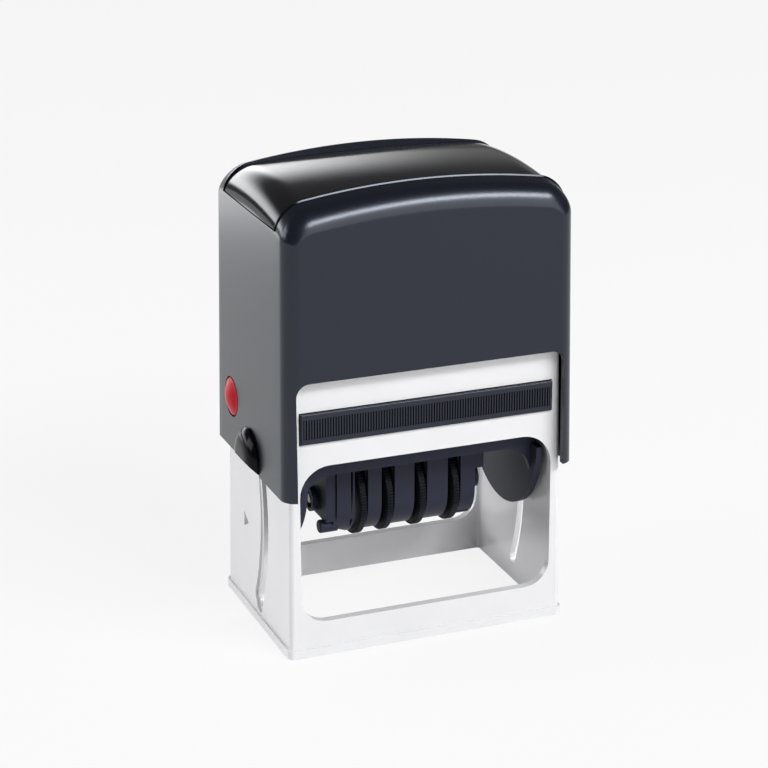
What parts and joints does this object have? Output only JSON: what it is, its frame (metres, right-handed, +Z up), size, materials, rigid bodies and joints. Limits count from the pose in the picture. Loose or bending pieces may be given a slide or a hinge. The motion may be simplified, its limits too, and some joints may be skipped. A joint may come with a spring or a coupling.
{
  "type": "self-inking date stamp",
  "caption": "Free-standing self-inking date stamp: black press-down shell over a white frame, with a turning die holder, thumb-wheel dater and pull-out ink pad.",
  "frame": {"origin": "middle of the base on the desk", "axes": "+Z up, front with the ink pad's grip bar at -Y, +X to the right seen from the front"},
  "size_m": [0.0738, 0.049, 0.1066],
  "materials": {
    "white_abs": "moulded, glossy white",
    "satin_black_abs": "moulded, fine satin grain",
    "gloss_black_abs": "moulded, polished",
    "red_abs": "moulded, glossy red",
    "grey_acetal": "moulded, plain",
    "zinc_steel": "zinc plated",
    "spring_steel": "drawn wire",
    "inked_felt": "felt soaked with blue ink",
    "red_rubber": "laser-cut stamp rubber",
    "band_rubber": "moulded rubber"
  },
  "bodies": {
    "frame": {"base_frame": "white_abs"},
    "handle": {"outer_shell": "satin_black_abs", "top_cover": "gloss_black_abs", "carrier_yoke": "grey_acetal", "yoke_screws": "zinc_steel", "pin_guard_left": "gloss_black_abs", "pin_guard_right": "gloss_black_abs", "return_spring": "spring_steel"},
    "pad_cartridge": {"pad_tray": "satin_black_abs", "ink_pad": "inked_felt"},
    "carrier": {"die_holder": "satin_black_abs", "text_plate": "red_rubber", "axle_pins": "zinc_steel", "guide_pins": "zinc_steel", "dater_frame": "gloss_black_abs", "wheel_axle": "zinc_steel", "axle_clips": "zinc_steel", "band_bridge": "grey_acetal", "day_tens_band": "band_rubber", "day_units_band": "band_rubber", "month_band": "band_rubber", "year_band": "band_rubber"},
    "lock_left": {"lock_button_left": "red_abs"},
    "lock_right": {"lock_button_right": "red_abs"},
    "day_tens_thumbwheel": {"day_tens_wheel": "gloss_black_abs"},
    "day_units_thumbwheel": {"day_units_wheel": "gloss_black_abs"},
    "month_thumbwheel": {"month_wheel": "gloss_black_abs"},
    "year_thumbwheel": {"year_wheel": "gloss_black_abs"}
  },
  "joints": [
    {"name": "press", "type": "slide", "parent": "frame", "child": "handle", "axis": [0, 0, -1], "range_m": [0, 0.0314], "stiffness_N_per_m": 380, "springref_m": -0.021, "deforming": ["return_spring"]},
    {"name": "flip", "type": "hinge", "parent": "handle", "child": "carrier", "pos_m": [0, 0, 0.041], "axis": [1, 0, 0], "range_deg": [0, 180]},
    {"name": "pad_pull", "type": "slide", "parent": "frame", "child": "pad_cartridge", "axis": [0, 1, 0], "range_m": [-0.044, 0]},
    {"name": "day_tens_turn", "type": "hinge", "parent": "carrier", "child": "day_tens_thumbwheel", "pos_m": [-0.0105, 0, 0.0285], "axis": [1, 0, 0], "continuous": true},
    {"name": "day_units_turn", "type": "hinge", "parent": "carrier", "child": "day_units_thumbwheel", "pos_m": [-0.004, 0, 0.0285], "axis": [1, 0, 0], "continuous": true},
    {"name": "month_turn", "type": "hinge", "parent": "carrier", "child": "month_thumbwheel", "pos_m": [0.004, 0, 0.0285], "axis": [1, 0, 0], "continuous": true},
    {"name": "year_turn", "type": "hinge", "parent": "carrier", "child": "year_thumbwheel", "pos_m": [0.0123, 0, 0.0285], "axis": [1, 0, 0], "continuous": true},
    {"name": "lock_left_push", "type": "slide", "parent": "handle", "child": "lock_left", "axis": [-1, 0, 0], "range_m": [-0.0012, 0], "stiffness_N_per_m": 300, "springref_m": 0.002},
    {"name": "lock_right_push", "type": "slide", "parent": "handle", "child": "lock_right", "axis": [1, 0, 0], "range_m": [-0.0012, 0], "stiffness_N_per_m": 300, "springref_m": 0.002}
  ],
  "couplings": [
    {"joint": "flip", "follows": "press", "rad_per_m": 100.05}
  ]
}
